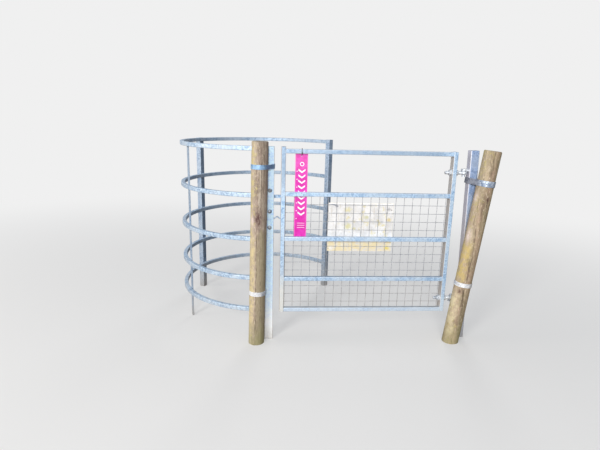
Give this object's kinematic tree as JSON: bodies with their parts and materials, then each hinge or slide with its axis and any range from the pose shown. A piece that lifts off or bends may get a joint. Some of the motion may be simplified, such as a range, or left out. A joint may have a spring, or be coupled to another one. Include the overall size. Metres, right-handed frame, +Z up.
{
  "type": "kissing gate",
  "caption": "Galvanised kissing gate: a mesh leaf hung on eye bolts swings inside a round steel enclosure strapped to timber posts.",
  "frame": {"origin": "middle of the closing post's foot, at ground level", "axes": "+Z up, +X along the shut leaf towards its hinge, +Y from the gate line into the enclosure"},
  "size_m": [1.9013, 1.2835, 1.1905],
  "materials": {
    "galvanised_steel": "hot-dip galvanised, pale blue-grey spangle, dulled by weather",
    "hinge_zinc": "bright zinc on bolts, nuts and hooks",
    "mesh_wire": "galvanised weld mesh wire, matt grey",
    "strap_steel": "galvanised flat strap, patchy zinc",
    "timber": "weathered round softwood with yellow-green lichen",
    "board_sheet": "faded off-white sheet with yellow blotches",
    "tag_plastic": "hot pink plastic strip with a plain white pattern",
    "tie_nylon": "black nylon"
  },
  "bodies": {
    "frame": {"closing_post": "galvanised_steel", "hinge_post": "galvanised_steel", "rear_post": "galvanised_steel", "back_upright": "galvanised_steel", "side_upright": "galvanised_steel", "hoop_1": "galvanised_steel", "hoop_2": "galvanised_steel", "hoop_3": "galvanised_steel", "hoop_4": "galvanised_steel", "hoop_5": "galvanised_steel", "left_timber_post": "timber", "right_timber_post": "timber", "left_upper_strap": "strap_steel", "left_lower_strap": "strap_steel", "right_upper_strap": "strap_steel", "right_lower_strap": "strap_steel", "upper_hook": "hinge_zinc", "lower_hook": "hinge_zinc"},
    "leaf": {"closing_stile": "galvanised_steel", "hinge_stile": "galvanised_steel", "rail_1": "galvanised_steel", "rail_2": "galvanised_steel", "rail_3": "galvanised_steel", "rail_4": "galvanised_steel", "rail_5": "galvanised_steel", "mesh_panel": "mesh_wire", "notice_board": "board_sheet", "hanging_tag": "tag_plastic", "tag_tie": "tie_nylon", "upper_eye_bolt": "hinge_zinc", "lower_eye_bolt": "hinge_zinc", "upper_inner_nut": "hinge_zinc", "upper_outer_nut": "hinge_zinc", "lower_inner_nut": "hinge_zinc", "lower_outer_nut": "hinge_zinc", "stop_bar": "galvanised_steel", "bent_stop": "galvanised_steel"}
  },
  "joints": [
    {"name": "leaf_swing", "type": "hinge", "parent": "frame", "child": "leaf", "pos_m": [1.13, 0.005, 1.03], "axis": [0, 0, 1], "range_deg": [-49.9, 0]}
  ]
}
